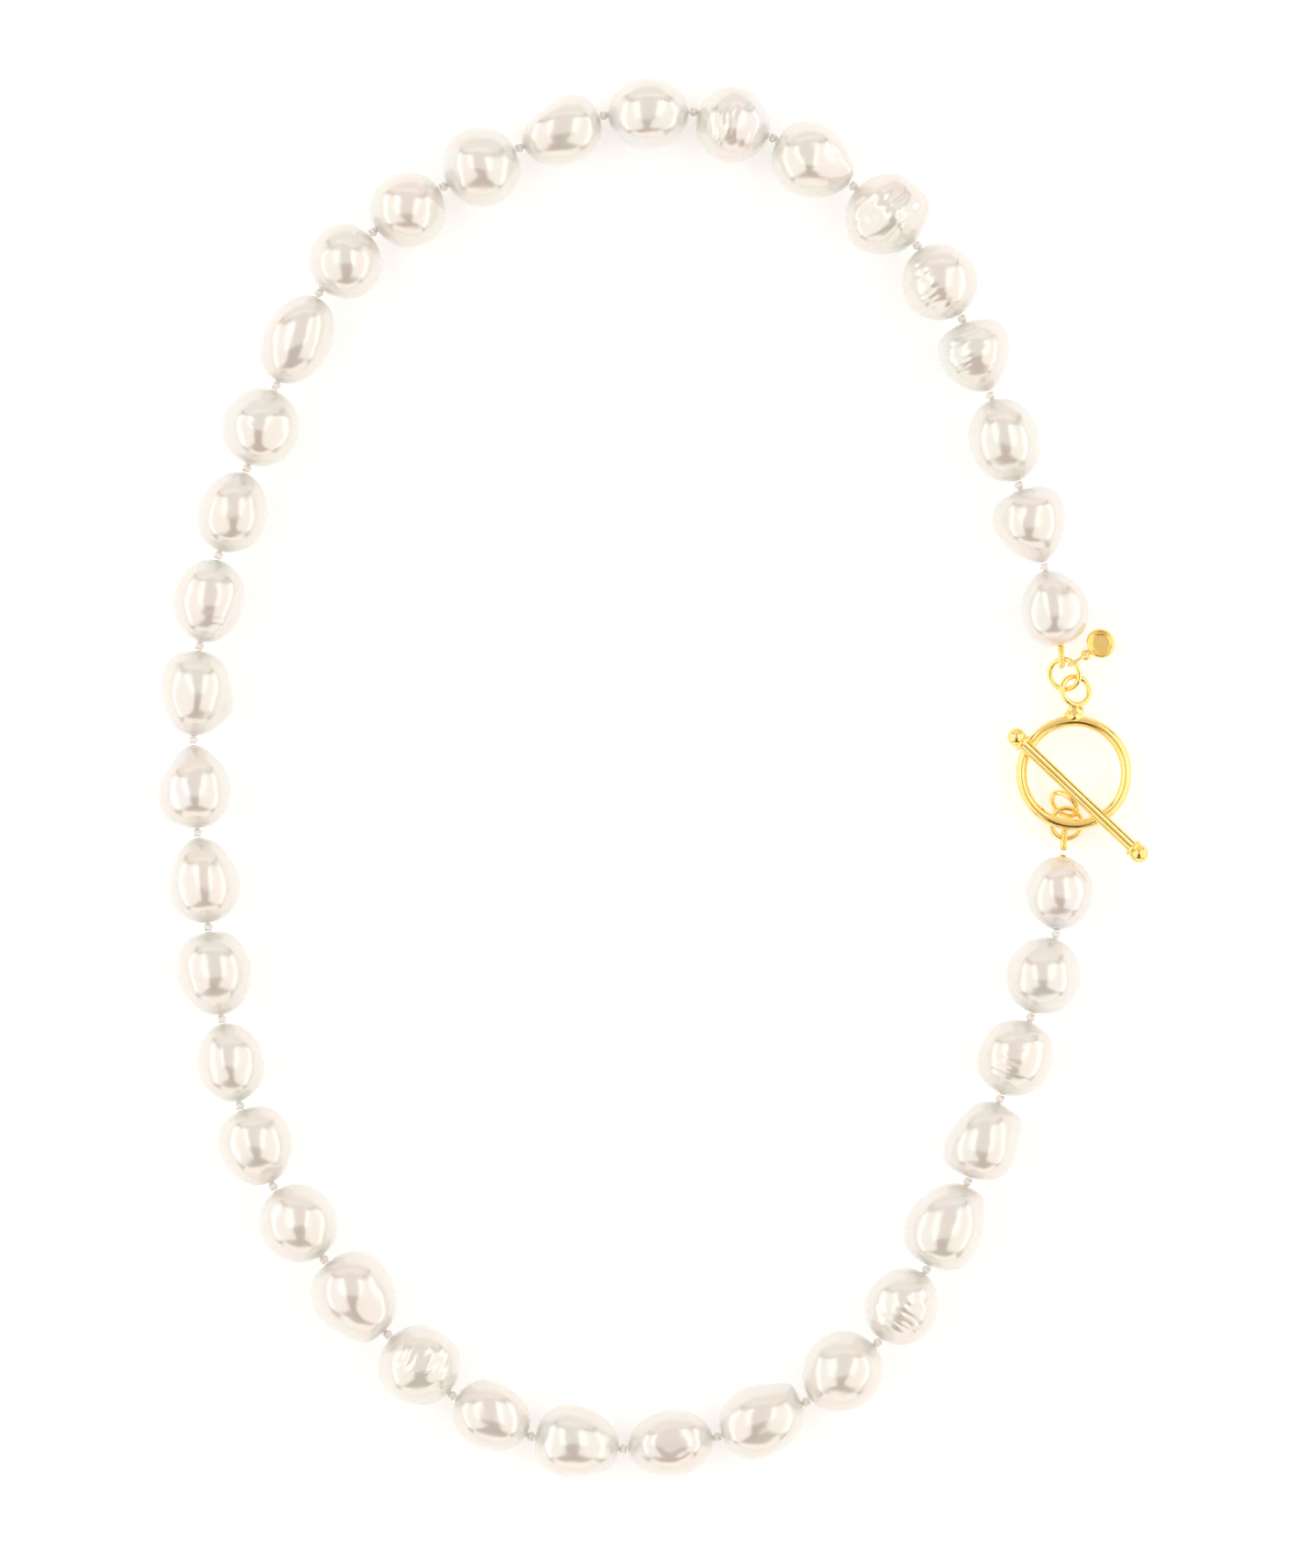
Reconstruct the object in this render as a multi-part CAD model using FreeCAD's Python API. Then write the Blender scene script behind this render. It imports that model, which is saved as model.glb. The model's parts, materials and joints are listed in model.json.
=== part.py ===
"""Knotted baroque pearl necklace with a gold toggle clasp, laid flat in an oval.

Millimetres, +Z up. The pearls rest on z = 0, and the origin is under the middle of the whole necklace.
Pearl 1 is next to the toggle ring, and the count runs round the oval to pearl 37, beside the bar.
"""
import FreeCAD, Part
import math
import os

V = FreeCAD.Vector

# Strand. Every pearl rests on the surface, so the thread runs at half the pearls' widths.
THREAD_HEIGHT_AT_CLASP = 3.6
THREAD_HEIGHT_AT_END_KNOTS = 5.0
SILK_RADIUS = 0.3
BORE_RADIUS = 0.45
KNOT_RADIUS = 0.68
KNOT_LENGTH = 0.84
SILK_START = 0.6
SPHERE_TOLERANCE = 0.01
SPHERE_JOINT_TURN = 0.75 * math.pi
# The share of a pearl's greatest length that lies between its two holes
HOLE_TO_HOLE = 0.97

# The line that the thread lies on, from the toggle ring's side round to the bar's side
ROUTE = [
    (53.3, 17.4), (52.3, 22.6), (45.8, 44.3), (37.4, 65.5), (20.8, 80.8), (-0.4, 87.4), (-22.3, 79.8),
    (-40.6, 67.4), (-51.2, 45.4), (-58.2, 23.0), (-59.8, -1.7), (-57.0, -26.5), (-51.6, -49.1),
    (-38.5, -68.0), (-20.4, -84.1), (3.4, -86.9), (25.8, -77.2), (38.8, -57.8), (47.5, -35.9),
    (53.4, -14.9), (53.5, -10.2),
]

# Each pearl: greatest length, width, and where along its length it is fattest
PEARLS = [
    (10.2, 8.8, 0.45), (10.3, 9.3, 0.60), (11.5, 9.2, 0.50), (9.8, 9.3, 0.58), (10.4, 9.8, 0.50),
    (10.6, 10.6, 0.52), (11.4, 9.8, 0.58), (10.1, 9.8, 0.50), (11.0, 9.3, 0.50), (11.0, 8.6, 0.45),
    (10.3, 10.2, 0.50), (10.1, 9.8, 0.50), (9.8, 9.7, 0.50), (12.6, 8.7, 0.50), (10.6, 10.0, 0.52),
    (11.1, 9.0, 0.52), (11.3, 9.0, 0.48), (11.5, 9.0, 0.45), (11.3, 9.2, 0.58), (11.6, 9.0, 0.55),
    (11.3, 9.5, 0.44), (10.7, 8.6, 0.50), (10.6, 9.5, 0.44), (10.8, 9.9, 0.50), (12.0, 10.4, 0.42),
    (10.8, 10.4, 0.50), (10.8, 8.8, 0.48), (11.4, 9.3, 0.43), (11.6, 8.6, 0.52), (11.7, 9.4, 0.45),
    (11.4, 9.9, 0.52), (10.6, 9.4, 0.50), (11.9, 9.8, 0.42), (10.8, 9.3, 0.42), (10.5, 9.4, 0.50),
    (10.5, 9.6, 0.50), (9.9, 8.6, 0.50),
]

# Toggle clasp
TOGGLE_CENTRE = V(54.96, 0.72, 3.2)
TOGGLE_RADIUS = 6.8
TOGGLE_WIRE = 0.75
LINK_WIRE = 0.36
RING_LOOP_CENTRE = V(55.2, 11.4, 3.2)
RING_LOOP_RADIUS = 1.85
UPPER_JUMP_CENTRE = V(53.75, 13.6, 3.2)
UPPER_JUMP_RADIUS = 2.0
LINK_TILT = 23.0
SOLDER_RADIUS = 0.85
SOLDER_NECK_RADIUS = 0.68

BAR_MIDDLE = V(55.4, -2.2, 4.92)
BAR_ANGLE = -43.5
BAR_RADIUS = 0.78
BAR_BALL_RADIUS = 1.23
BAR_BALL_OFFSET = 11.0
BAR_COLLAR_RADIUS = 1.25
BAR_COLLAR_THICKNESS = 0.7
BAR_COLLAR_ROUNDING = 0.28
BAR_COLLAR_OFFSET = 9.95
BAR_SHAFT_END = 10.6
EYELET_CENTRE = V(53.7, -3.4, 2.8)
EYELET_RADIUS = 1.9
EYELET_TILT = 54.7
LOWER_JUMP_CENTRE = V(54.05, -5.88, 1.8)
LOWER_JUMP_RADIUS = 2.0
LOWER_JUMP_TILT = 8.0

GIMP_WIRE = 0.34
GIMP_LOOP_RADIUS = 0.85
GIMP_NECK_RADIUS = 0.4
# How far each gimp loop sits to the left of its jump ring's middle, as a slope
GIMP_LEAN = -0.15
# The strand's loop is open here, between the lower gimp's neck and the last pearl
OPEN_PIVOT_GAP = 1.3

TAG_CENTRE = V(57.7, 16.9, 3.9)
TAG_RADIUS = 1.95
TAG_THICKNESS = 0.55
TAG_RIM_WIDTH = 0.4
TAG_RIM_HEIGHT = 0.25
TAG_WIRE = 0.2
TAG_BAIL_RADIUS = 0.5
TAG_LINK_RADIUS = 0.85
TAG_LINK_STRAIGHT = 0.9
TAG_LINK_TURN = 50.0
TAG_LINK_CLEARANCE = 0.12

Z = V(0, 0, 1)


def route_edge():
    """The thread's line as one smooth curve in plan."""
    curve = Part.BSplineCurve()
    curve.interpolate([V(x, y, 0) for x, y in ROUTE])
    return curve.toShape()


def knot_gap(edge):
    """The space left between neighbouring pearls when they fill the route."""
    return (edge.Length - HOLE_TO_HOLE * sum(pearl[0] for pearl in PEARLS)) / (len(PEARLS) - 1)


def thread_points():
    """The thread's end at pearl 1, the middle of every knot, and its end at pearl 37."""
    edge = route_edge()
    gap = knot_gap(edge)
    points = [edge.valueAt(edge.FirstParameter)]
    travelled = -gap / 2
    for length, width, fat in PEARLS[:-1]:
        travelled += length * HOLE_TO_HOLE + gap
        points.append(edge.valueAt(edge.getParameterByLength(travelled)))
    points.append(edge.valueAt(edge.LastParameter))
    widths = [pearl[1] for pearl in PEARLS]
    heights = [(a + b) / 4 for a, b in zip(widths[:-1], widths[1:])]
    heights[0] = heights[-1] = THREAD_HEIGHT_AT_END_KNOTS
    heights = [THREAD_HEIGHT_AT_CLASP] + heights + [THREAD_HEIGHT_AT_CLASP]
    return [V(p.x, p.y, h) for p, h in zip(points, heights)]


def half_profile(half_length, radius, at, facing):
    """Two tangent arcs from the bore's rim to the widest point, as (rim, on_end, joint, on_side, widest).

    The end arc is centred on the axis, so it turns into a piece of sphere. facing is 1 for the end at
    the start of the axis and -1 for the other, and at is that end's place.
    """
    if abs(half_length - radius) < SPHERE_TOLERANCE * radius:
        end_radius = side_radius = radius
        end_centre = side_centre = (half_length, 0.0)
        joint_turn = SPHERE_JOINT_TURN
    else:
        end_radius = radius * radius / half_length
        reach = (half_length - end_radius) ** 2 + radius ** 2 - end_radius ** 2
        side_radius = reach / (2 * (radius - end_radius))
        end_centre = (end_radius, 0.0)
        side_centre = (half_length, radius - side_radius)
        sign = 1 if side_radius > end_radius else -1
        dx = (end_centre[0] - side_centre[0]) * sign
        dy = (end_centre[1] - side_centre[1]) * sign
        joint_turn = math.atan2(dy, dx)
    rim_turn = math.pi - math.asin(BORE_RADIUS / end_radius)

    def on(centre, size, turn):
        return V(at + facing * (centre[0] + size * math.cos(turn)), centre[1] + size * math.sin(turn), 0)

    rim = on(end_centre, end_radius, rim_turn)
    on_end = on(end_centre, end_radius, (rim_turn + joint_turn) / 2)
    joint = on(end_centre, end_radius, joint_turn)
    on_side = on(side_centre, side_radius, (joint_turn + math.pi / 2) / 2)
    widest = on(side_centre, side_radius, math.pi / 2)
    return rim, on_end, joint, on_side, widest


def turned(edges):
    """The solid that a closed outline in the XY plane makes when it turns about the X axis."""
    face = Part.Face(Part.Wire(edges))
    return face.revolve(V(0, 0, 0), V(1, 0, 0), 360)


def drilled_pearl(length, radius, fat):
    """A drilled egg along +X between its two holes, fattest at fat times its length."""
    near = half_profile(fat * length, radius, 0.0, 1)
    far = half_profile((1 - fat) * length, radius, length, -1)
    edges = []
    for rim, on_end, joint, on_side, widest in (near, far):
        edges.append(Part.Arc(rim, on_end, joint).toShape())
        edges.append(Part.Arc(joint, on_side, widest).toShape())
    edges = [edges[0], edges[1], edges[3], edges[2]]
    edges.append(Part.makeLine(far[0], near[0]))
    return turned(edges)


def silk_and_knot(length, has_knot):
    """The silk along +X, ending in the middle of the knot that closes it."""
    start = V(SILK_START, 0, 0)
    corner = V(SILK_START, SILK_RADIUS, 0)
    if not has_knot:
        far = V(length, SILK_RADIUS, 0)
        foot = V(length, 0, 0)
        return turned([Part.makeLine(start, corner), Part.makeLine(corner, far),
                       Part.makeLine(far, foot), Part.makeLine(foot, start)])
    half = KNOT_LENGTH / 2
    meet = V(length - half, SILK_RADIUS, 0)
    crown = V(length, KNOT_RADIUS, 0)
    back = V(length + half, SILK_RADIUS, 0)
    tip = V(length + half, 0, 0)
    outer = Part.Arc(meet, crown, back).toShape()
    return turned([Part.makeLine(start, corner), Part.makeLine(corner, meet), outer,
                   Part.makeLine(back, tip), Part.makeLine(tip, start)])


def along(shape, start, end):
    """The shape, made along +X, moved to start and turned towards end with its own +Z kept up."""
    forward = (end - start).normalize()
    turn = FreeCAD.Rotation(forward, V(0, 0, 0), Z, "XZY")
    moved = shape.copy()
    moved.Placement = FreeCAD.Placement(start, turn).multiply(shape.Placement)
    return moved


def rod(start, end, radius):
    """A round rod between two points."""
    return Part.makeCylinder(radius, (end - start).Length, start, end - start)


def pearl_node(number, points):
    """One drilled pearl and the silk inside it, as two separate solids."""
    drilled, width, fat = PEARLS[number - 1]
    length = drilled * HOLE_TO_HOLE
    start, end = points[number - 1], points[number]
    span = (end - start).Length
    forward = (end - start).normalize()
    first, last = number == 1, number == len(PEARLS)
    lead = 0.0 if first else (span - length if last else (span - length) / 2)
    pearl = along(drilled_pearl(length, width / 2, fat), start + forward * lead, end + forward)
    silk = along(silk_and_knot(span, not last), start, end)
    return Part.Compound([pearl, silk])


def tilted(axis, degrees):
    """The +Z direction turned about an axis."""
    return FreeCAD.Rotation(axis, degrees).multVec(Z)


def ring(centre, normal, radius, wire):
    """A closed ring of round wire."""
    return Part.makeTorus(radius, wire, centre, normal)


def stadium_link(radius, straight, wire):
    """A long link standing in the XZ plane, centred on the origin with its long way on X."""
    link = None
    for side in (-1, 1):
        bend = Part.makeTorus(radius, wire, V(0, 0, 0), Z, -180, 180, 180)
        bend.rotate(V(0, 0, 0), Z, -90 * side)
        bend.translate(V(side * straight / 2, 0, 0))
        leg = rod(V(-straight / 2, side * radius, 0), V(straight / 2, side * radius, 0), wire)
        link = bend.fuse(leg) if link is None else link.fuse(bend).fuse(leg)
    link = link.removeSplitter()
    link.rotate(V(0, 0, 0), V(1, 0, 0), 90)
    return link


def upper_link_line():
    """The direction in plan from the upper jump ring to the ring's loop."""
    return (V(RING_LOOP_CENTRE.x, RING_LOOP_CENTRE.y, 0)
            - V(UPPER_JUMP_CENTRE.x, UPPER_JUMP_CENTRE.y, 0)).normalize()


def bar_direction():
    """Along the bar, towards its lower right end."""
    turn = math.radians(BAR_ANGLE)
    return V(math.cos(turn), math.sin(turn), 0)


def upper_jump_ring():
    return ring(UPPER_JUMP_CENTRE, tilted(upper_link_line(), LINK_TILT), UPPER_JUMP_RADIUS, LINK_WIRE)


def toggle_ring():
    return ring(TOGGLE_CENTRE, Z, TOGGLE_RADIUS, TOGGLE_WIRE)


def ring_loop():
    """The loop soldered to the toggle ring's top, with its lump of solder."""
    loop = ring(RING_LOOP_CENTRE, tilted(upper_link_line(), -LINK_TILT), RING_LOOP_RADIUS, LINK_WIRE)
    foot = V(TOGGLE_CENTRE.x, TOGGLE_CENTRE.y + TOGGLE_RADIUS, TOGGLE_CENTRE.z)
    top = V(RING_LOOP_CENTRE.x, RING_LOOP_CENTRE.y - RING_LOOP_RADIUS, RING_LOOP_CENTRE.z)
    lump = rod(foot, top, SOLDER_NECK_RADIUS).fuse(Part.makeSphere(SOLDER_RADIUS, (foot + top) / 2))
    return loop.fuse(lump).removeSplitter().cut(toggle_ring())


def bar_shaft():
    forward = bar_direction()
    return rod(BAR_MIDDLE - forward * BAR_SHAFT_END, BAR_MIDDLE + forward * BAR_SHAFT_END, BAR_RADIUS)


def bar_ends(make):
    """The two like pieces at the bar's ends, bored for the shaft, as separate solids."""
    forward = bar_direction()
    pieces = [make(forward * side).cut(bar_shaft()) for side in (-1, 1)]
    return Part.Compound([piece.Solids[0] for piece in pieces])


def bar_balls():
    def ball(outward):
        return Part.makeSphere(BAR_BALL_RADIUS, BAR_MIDDLE + outward * BAR_BALL_OFFSET)
    return bar_ends(ball)


def bar_collars():
    """The collars are hollowed on their outer side where the balls sit in them."""
    def collar(outward):
        inner = BAR_MIDDLE + outward * (BAR_COLLAR_OFFSET - BAR_COLLAR_THICKNESS / 2)
        disc = Part.makeCylinder(BAR_COLLAR_RADIUS, BAR_COLLAR_THICKNESS, inner, outward)
        disc = disc.makeFillet(BAR_COLLAR_ROUNDING, disc.Edges)
        return disc.cut(Part.makeSphere(BAR_BALL_RADIUS, BAR_MIDDLE + outward * BAR_BALL_OFFSET))
    return bar_ends(collar)


def bar_eyelet():
    """The ring soldered under the bar's middle, sloping down through the toggle ring."""
    loop = ring(EYELET_CENTRE, tilted(bar_direction(), EYELET_TILT), EYELET_RADIUS, LINK_WIRE)
    return loop.cut(bar_shaft())


def lower_jump_ring():
    return ring(LOWER_JUMP_CENTRE, tilted(V(1, 0, 0), LOWER_JUMP_TILT), LOWER_JUMP_RADIUS, LINK_WIRE)


def ring_top(centre, radius, axis, degrees, direction):
    """A point on a tilted ring's centre line, towards a direction in plan."""
    normal = tilted(axis, degrees)
    flat = (direction - normal * direction.dot(normal)).normalize()
    return centre + flat * radius


def upper_gimp_point():
    """Where the upper jump ring passes through its gimp loop."""
    direction = V(GIMP_LEAN, 1, 0)
    return ring_top(UPPER_JUMP_CENTRE, UPPER_JUMP_RADIUS, upper_link_line(), LINK_TILT, direction)


def lower_gimp_point():
    """Where the lower jump ring passes through its gimp loop."""
    direction = V(GIMP_LEAN, -1, 0)
    return ring_top(LOWER_JUMP_CENTRE, LOWER_JUMP_RADIUS, V(1, 0, 0), LOWER_JUMP_TILT, direction)


def gimp(link_point, mouth, neck_end_gap):
    """The covered thread loop that holds a jump ring, with its neck towards the pearl's hole."""
    towards = (mouth - link_point).normalize()
    side = V(-towards.y, towards.x, 0).normalize()
    loop = ring(link_point, side, GIMP_LOOP_RADIUS, GIMP_WIRE)
    neck_start = link_point + towards * GIMP_LOOP_RADIUS
    return loop.fuse(rod(neck_start, mouth - towards * neck_end_gap, GIMP_NECK_RADIUS)).removeSplitter()


def upper_jump_tag_point():
    """Where the tag's long link hangs on the upper jump ring."""
    turn = math.radians(TAG_LINK_TURN)
    direction = V(math.cos(turn), math.sin(turn), 0)
    return ring_top(UPPER_JUMP_CENTRE, UPPER_JUMP_RADIUS, upper_link_line(), LINK_TILT, direction)


def tag_link_direction():
    start = upper_jump_tag_point()
    return (V(TAG_CENTRE.x, TAG_CENTRE.y, 0) - V(start.x, start.y, 0)).normalize()


def tag_link_centre():
    start = upper_jump_tag_point()
    reach = TAG_LINK_RADIUS + TAG_LINK_STRAIGHT / 2 - TAG_WIRE - LINK_WIRE - TAG_LINK_CLEARANCE
    return start + tag_link_direction() * reach


def tag_link():
    """The long link that hangs the tag on the upper jump ring, standing on edge."""
    centre = tag_link_centre()
    return along(stadium_link(TAG_LINK_RADIUS, TAG_LINK_STRAIGHT, TAG_WIRE), centre,
                 centre + tag_link_direction())


def tag_bail_centre():
    """The middle of the tag's bail, which the long link's far end passes through."""
    return tag_link_centre() + tag_link_direction() * (TAG_LINK_RADIUS + TAG_LINK_STRAIGHT / 2)


def tag():
    """The oval tag: a plain disc with a raised rim, and its bail."""
    outward = tag_link_direction()
    centre = tag_bail_centre() + outward * (TAG_BAIL_RADIUS + TAG_RADIUS)
    plate = Part.makeCylinder(TAG_RADIUS, TAG_THICKNESS, centre - Z * (TAG_THICKNESS / 2))
    rim_top = centre + Z * (TAG_THICKNESS / 2)
    rim = Part.makeCylinder(TAG_RADIUS, TAG_RIM_HEIGHT, rim_top)
    rim = rim.cut(Part.makeCylinder(TAG_RADIUS - TAG_RIM_WIDTH, TAG_RIM_HEIGHT, rim_top))
    bail = ring(tag_bail_centre(), Z, TAG_BAIL_RADIUS, TAG_WIRE)
    return plate.fuse(rim).fuse(bail).removeSplitter()


def clasp_nodes(points):
    return {
        "upper_gimp": gimp(upper_gimp_point(), points[0], 0.0),
        "upper_jump_ring": upper_jump_ring(),
        "toggle_ring": toggle_ring(),
        "toggle_ring_loop": ring_loop(),
        "toggle_bar": bar_shaft(),
        "bar_collars": bar_collars(),
        "bar_end_balls": bar_balls(),
        "bar_eyelet": bar_eyelet(),
        "lower_jump_ring": lower_jump_ring(),
        "lower_gimp": gimp(lower_gimp_point(), points[-1], OPEN_PIVOT_GAP),
        "tag_link": tag_link(),
        "maker_tag": tag(),
    }


def all_nodes():
    """Every node, before the origin is put under the middle."""
    points = thread_points()
    nodes = {"pearl_%02d" % n: pearl_node(n, points) for n in range(1, len(PEARLS) + 1)}
    nodes.update(clasp_nodes(points))
    return nodes


def centring_shift(nodes):
    """The move that puts the origin under the middle of the whole necklace."""
    box = Part.Compound(list(nodes.values())).optimalBoundingBox(False, False)
    return V(-box.Center.x, -box.Center.y, -box.ZMin)


NODES = all_nodes()
SHIFT = centring_shift(NODES)

os.makedirs("parts", exist_ok=True)
for name, shape in NODES.items():
    placed = shape.copy()
    placed.translate(SHIFT)
    placed.exportStep("parts/" + name + ".step")
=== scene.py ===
"""Knotted baroque pearl necklace with a gold toggle clasp: the visual model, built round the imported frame."""
import json
import math

import bpy
import numpy as np
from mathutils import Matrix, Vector, noise


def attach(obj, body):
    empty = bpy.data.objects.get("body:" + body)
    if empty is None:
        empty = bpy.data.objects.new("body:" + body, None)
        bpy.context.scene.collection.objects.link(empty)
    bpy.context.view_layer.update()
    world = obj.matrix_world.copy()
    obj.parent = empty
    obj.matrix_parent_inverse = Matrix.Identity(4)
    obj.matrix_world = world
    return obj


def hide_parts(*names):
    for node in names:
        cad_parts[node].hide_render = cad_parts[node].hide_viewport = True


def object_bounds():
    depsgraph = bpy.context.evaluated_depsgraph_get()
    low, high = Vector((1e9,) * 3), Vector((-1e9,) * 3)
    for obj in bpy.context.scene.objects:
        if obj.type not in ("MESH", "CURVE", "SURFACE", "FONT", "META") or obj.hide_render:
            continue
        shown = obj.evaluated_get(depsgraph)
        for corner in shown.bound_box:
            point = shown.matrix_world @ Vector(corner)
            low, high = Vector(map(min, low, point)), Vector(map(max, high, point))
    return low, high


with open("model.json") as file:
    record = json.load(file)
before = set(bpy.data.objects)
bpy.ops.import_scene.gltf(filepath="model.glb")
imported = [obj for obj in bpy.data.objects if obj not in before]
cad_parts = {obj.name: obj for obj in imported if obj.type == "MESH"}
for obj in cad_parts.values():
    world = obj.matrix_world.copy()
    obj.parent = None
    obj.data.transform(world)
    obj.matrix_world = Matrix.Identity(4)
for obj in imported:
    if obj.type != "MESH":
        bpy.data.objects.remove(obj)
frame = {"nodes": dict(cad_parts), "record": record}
cad_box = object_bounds()
MM = 0.001
JOINTS = {joint["name"]: joint for joint in frame["record"]["behaviour"]["joints"]}

# Strand, in metres
PEARL_COUNT = 37
KNOT_GAP = 1.15 * MM
HOLE_RADIUS = 0.45 * MM
SILK_RADIUS = 0.3 * MM
SILK_START = 0.72 * MM        # how far past a knot's middle the next length of silk starts
FIRST_SILK_START = 0.2 * MM   # the same at pearl 1, where the silk comes out of the gimp
KNOT_RADIUS = 0.66 * MM
KNOT_STRAND_RADIUS = 0.26 * MM
NECK_TIP = 0.6 * MM           # how much of the upper gimp's end marks its middle

# Clasp, in metres
WIRE_SHARE = 0.95             # visible wire as a share of the CAD wire's radius
GIMP_LOOP_RADIUS = 0.85 * MM
GIMP_LOOP_WIRE = 0.40 * MM
GIMP_NECK_WIRE = 0.46 * MM
GIMP_PITCH = 0.34 * MM
GIMP_END_GAP = 1.45 * MM      # the cut in the closed strand, between the lower gimp and pearl 37
GIMP_STUB = 0.25 * MM
LOOP_CLEAR = 1.9 * MM         # points this far out of the toggle ring belong to its loop alone
SOLDER_RADIUS = 0.98 * MM
SOLDER_FOOT_SINK = 0.25 * MM
SOLDER_HEAD_SINK = 0.3 * MM
BAIL_RADIUS = 0.5 * MM
BAIL_WIRE = 0.2 * MM
TAG_RADIUS = 1.95 * MM
TAG_NARROWING = 0.94          # the tag's size along its hanging line as a share of its width
# The tag from the middle of its back to the middle of its face: share of the radius, height in mm
TAG_PROFILE = [(0.0, -0.28), (0.80, -0.28), (0.93, -0.24), (0.99, -0.10), (1.0, 0.10), (0.97, 0.36),
               (0.92, 0.49), (0.86, 0.52), (0.79, 0.50), (0.74, 0.40), (0.71, 0.22), (0.68, 0.12),
               (0.62, 0.09), (0.30, 0.10), (0.0, 0.10)]

# Camera framing: the height of the view, and where its middle is from the necklace's middle
VIEW_HEIGHT = 205.3 * MM
VIEW_OFFSET = (-0.1 * MM, -0.8 * MM)
CAMERA_HEIGHT = 1.3

# Studio. Each card is its name, place, size (across, along its tilt), power in watts and colour.
COOL_WHITE = (0.99, 0.995, 1.0)
WARM_WHITE = (1.0, 0.995, 0.985)
CARDS = [
    ("card_far", (0.0, 0.76, 1.63), (2.6, 2.71), 13.5, (0.98, 0.99, 1.0)),
    ("card_left", (-0.83, -0.1, 0.72), (2.0, 1.27), 8.4, COOL_WHITE),
    ("card_right", (0.83, -0.1, 0.72), (2.0, 1.27), 8.4, WARM_WHITE),
    ("card_near", (0.0, -1.08, 0.25), (1.6, 0.45), 2.6, (1.0, 1.0, 0.97)),
    ("card_low", (0.0, 1.055, 0.31), (2.0, 0.61), 2.9, (1.0, 1.0, 1.0)),
    ("card_low_left", (-1.15, 0.0, 0.22), (2.0, 0.5), 2.5, COOL_WHITE),
    ("card_low_right", (1.15, 0.0, 0.22), (2.0, 0.5), 2.5, WARM_WHITE),
]
ROOM_COLOUR = (0.42, 0.20, 0.08, 1.0)
ROOM_STRENGTH = 0.5
FLOOR_HALF = 1.5
FLOOR_DROP = 0.1 * MM

# Lumps and hollows of each pearl, as (along, around, height, spread). along runs from -1 at the
# hole nearer pearl 1 to 1 at the other; around is 0 outside the oval, 90 on top, 180 inside it.
# Height is a share of the pearl's radius and spread an angle in radians.
FEATURES = {
    1: [(-0.2, 20, 0.04, 0.6), (0.7, 180, -0.05, 0.5)],
    2: [(0.55, 10, 0.10, 0.5), (0.5, 180, 0.06, 0.5), (-0.8, 150, -0.05, 0.5)],
    4: [(0.62, 5, 0.13, 0.4), (0.62, 180, 0.10, 0.45), (-0.7, 0, -0.05, 0.5)],
    5: [(-0.3, 170, 0.04, 0.5)],
    6: [(-0.55, 10, 0.14, 0.4), (0.45, 20, 0.08, 0.4), (0.1, 170, 0.05, 0.4), (-0.3, 80, 0.10, 0.3),
        (0.2, 110, -0.08, 0.25), (0.5, 70, 0.07, 0.25)],
    7: [(-0.93, 60, 0.22, 0.28), (-0.5, 60, -0.07, 0.25), (-0.2, 100, 0.05, 0.3)],
    8: [(0.1, 30, 0.04, 0.5), (-0.6, 0, -0.05, 0.4)],
    10: [(0.45, 0, -0.20, 0.5), (-0.5, 0, 0.08, 0.5), (0.6, 180, 0.05, 0.5)],
    11: [(0.2, 0, 0.06, 0.5), (-0.7, 180, 0.05, 0.5)],
    12: [(0.6, 20, 0.04, 0.5), (-0.3, 180, 0.04, 0.6)],
    13: [(-0.7, 20, 0.07, 0.45)],
    14: [(-0.7, 180, 0.05, 0.4), (0.6, 0, 0.03, 0.4)],
    15: [(-0.5, 150, 0.05, 0.4), (0.0, 120, -0.04, 0.3)],
    16: [(0.5, 180, 0.05, 0.5)],
    17: [(-0.5, 170, 0.05, 0.5), (0.4, 0, 0.03, 0.5)],
    18: [(0.35, 175, 0.15, 0.3), (-0.6, 0, 0.05, 0.5), (0.2, 70, -0.06, 0.25)],
    19: [(0.3, 0, 0.08, 0.6), (-0.7, 0, -0.06, 0.5)],
    20: [(-0.5, 0, -0.08, 0.5), (0.3, 180, 0.08, 0.6)],
    21: [(-0.3, 0, 0.04, 0.5), (0.6, 180, 0.04, 0.5)],
    23: [(-0.4, 180, 0.03, 0.5)],
    25: [(0.93, 20, 0.12, 0.35), (-0.3, 180, 0.05, 0.5), (0.5, 100, -0.06, 0.3)],
    26: [(-0.3, 0, 0.06, 0.5), (0.3, 160, 0.04, 0.4)],
    27: [(-0.6, 180, 0.04, 0.5), (0.2, 60, -0.04, 0.3)],
    28: [(0.9, 0, 0.10, 0.4), (-0.2, 180, 0.06, 0.6), (0.3, 0, -0.05, 0.5)],
    29: [(0.0, 90, -0.06, 0.35), (-0.5, 100, 0.05, 0.3), (0.5, 80, 0.05, 0.3)],
    30: [(0.85, 175, 0.12, 0.3), (-0.6, 0, 0.05, 0.5)],
    31: [(0.4, 180, 0.06, 0.6)],
    32: [(-0.3, 180, 0.04, 0.5), (0.6, 0, -0.04, 0.4)],
    33: [(0.92, 10, 0.12, 0.35), (-0.2, 180, 0.07, 0.6)],
    34: [(0.75, 10, 0.12, 0.35), (-0.55, 175, 0.12, 0.5), (0.4, 180, -0.06, 0.5)],
    35: [(-0.4, 180, 0.05, 0.5), (0.7, 10, 0.05, 0.4)],
    36: [(0.3, 0, 0.03, 0.5)],
}
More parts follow.
